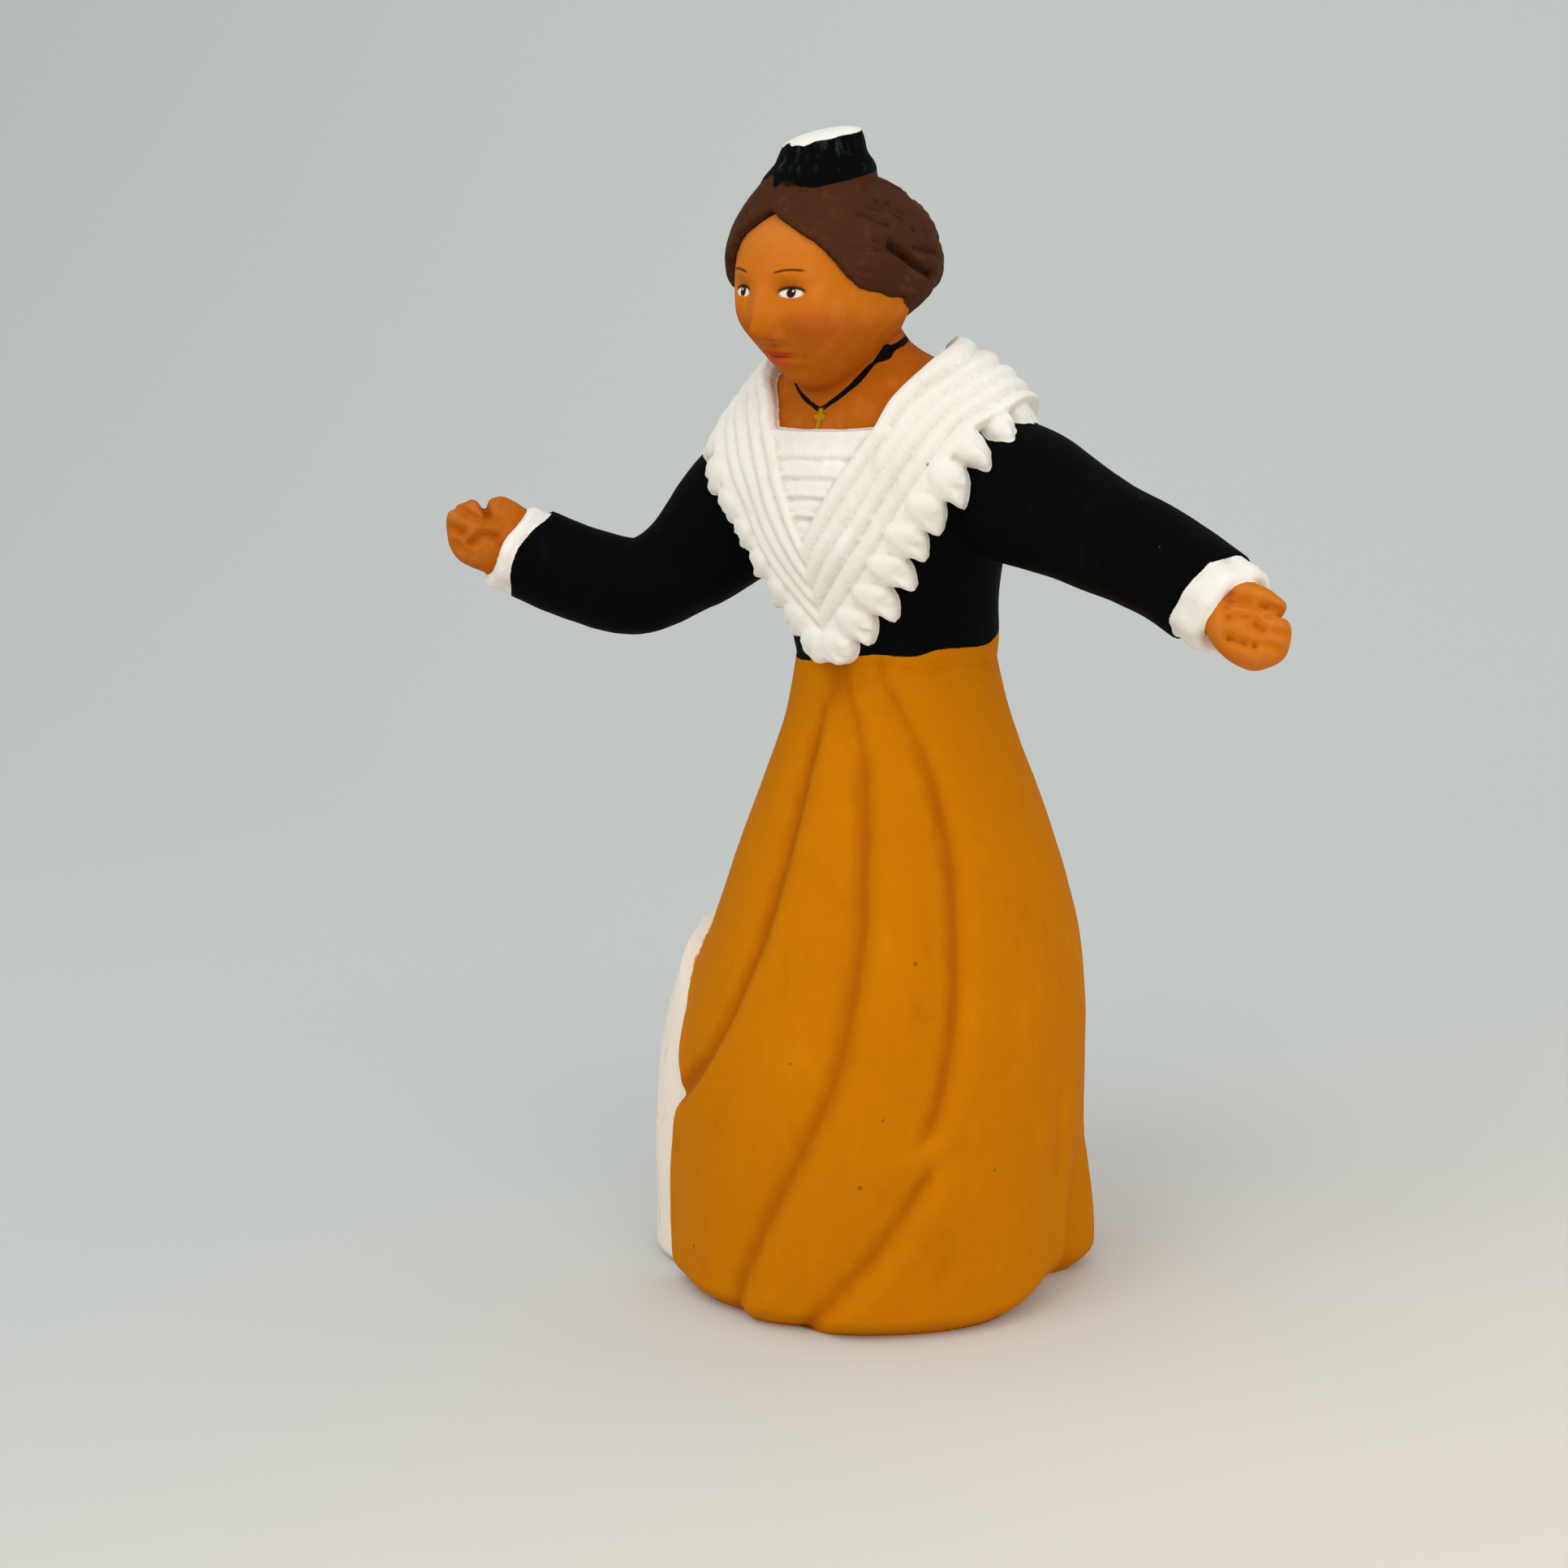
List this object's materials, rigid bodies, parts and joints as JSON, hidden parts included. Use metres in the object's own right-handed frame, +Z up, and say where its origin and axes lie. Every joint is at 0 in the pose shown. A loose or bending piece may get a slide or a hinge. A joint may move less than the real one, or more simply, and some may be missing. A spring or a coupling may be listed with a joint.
{
  "type": "santon figure",
  "caption": "Small painted fired-clay figure of a woman in Provencal festive dress, dancing with both arms held out.",
  "frame": {"origin": "centre of the flat underside, on the surface she stands on", "axes": "+Z up, she faces -Y, +X towards her left hand"},
  "size_m": [0.0544, 0.0261, 0.0707],
  "materials": {
    "painted_clay": "matte"
  },
  "bodies": {
    "root": {"santon_figure": "painted_clay"}
  },
  "joints": []
}
